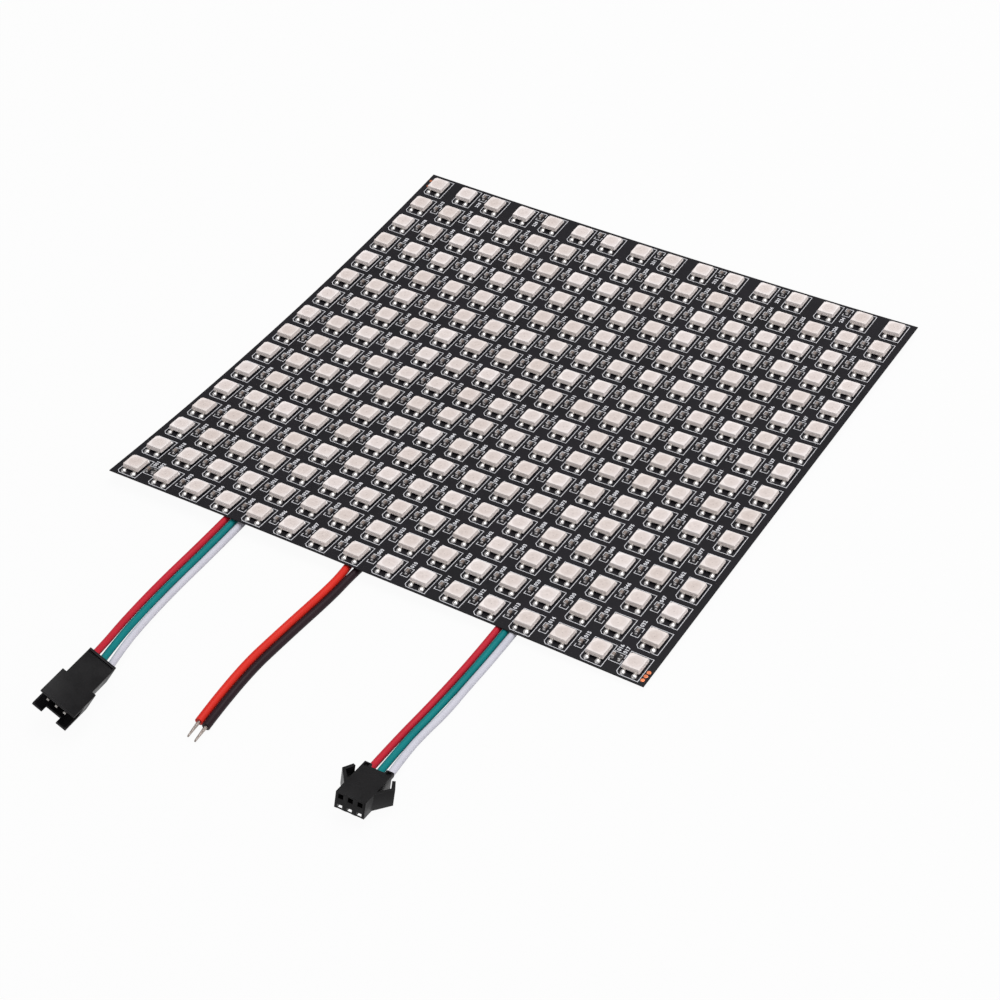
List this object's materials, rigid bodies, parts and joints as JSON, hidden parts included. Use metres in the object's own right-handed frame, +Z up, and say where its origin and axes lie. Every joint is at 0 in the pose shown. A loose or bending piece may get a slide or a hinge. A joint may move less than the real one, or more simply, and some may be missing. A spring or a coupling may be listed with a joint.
{
  "type": "flexible led dot matrix",
  "caption": "Square flexible LED panel: thin black film with a grid of square surface-mount LEDs, chip capacitors, plug-in data leads and a bare-ended power lead.",
  "frame": {"origin": "middle of the panel, on the surface that it lies on", "axes": "+Z up out of the LED side, +X along the front edge, -Y towards the edge that the leads leave"},
  "size_m": [0.16, 0.2401, 0.0129],
  "materials": {
    "film": "satin black solder mask on polyimide film",
    "led": "off-white moulded LED body with a clear window",
    "capacitor": "tan ceramic with tinned ends",
    "resistor": "black film on white ceramic with tinned ends",
    "data_red": "smooth wire insulation",
    "data_green": "smooth wire insulation",
    "data_white": "smooth wire insulation",
    "power_red": "smooth wire insulation",
    "power_black": "smooth wire insulation",
    "tinned_copper": "tinned copper strands",
    "solder": "bright solder",
    "connector_plastic": "fine satin moulded nylon",
    "contact_metal": "tinned brass"
  },
  "bodies": {
    "root": {"flex_circuit": "film", "led_row_01": "led", "led_row_02": "led", "led_row_03": "led", "led_row_04": "led", "led_row_05": "led", "led_row_06": "led", "led_row_07": "led", "led_row_08": "led", "led_row_09": "led", "led_row_10": "led", "led_row_11": "led", "led_row_12": "led", "led_row_13": "led", "led_row_14": "led", "led_row_15": "led", "led_row_16": "led", "capacitor_row_01": "capacitor", "capacitor_row_02": "capacitor", "capacitor_row_03": "capacitor", "capacitor_row_04": "capacitor", "capacitor_row_05": "capacitor", "capacitor_row_06": "capacitor", "capacitor_row_07": "capacitor", "capacitor_row_08": "capacitor", "capacitor_row_09": "capacitor", "capacitor_row_10": "capacitor", "capacitor_row_11": "capacitor", "capacitor_row_12": "capacitor", "capacitor_row_13": "capacitor", "capacitor_row_14": "capacitor", "capacitor_row_15": "capacitor", "capacitor_row_16": "capacitor", "data_resistors": "resistor", "pin_lead_red_wire": "data_red", "pin_lead_green_wire": "data_green", "pin_lead_white_wire": "data_white", "latch_lead_red_wire": "data_red", "latch_lead_green_wire": "data_green", "latch_lead_white_wire": "data_white", "power_lead_red_wire": "power_red", "power_lead_black_wire": "power_black", "power_lead_red_bare_end": "tinned_copper", "power_lead_black_bare_end": "tinned_copper", "solder_joints": "solder", "pin_housing": "connector_plastic", "contact_pins": "contact_metal", "latch_housing": "connector_plastic", "socket_contacts": "contact_metal"}
  },
  "joints": []
}
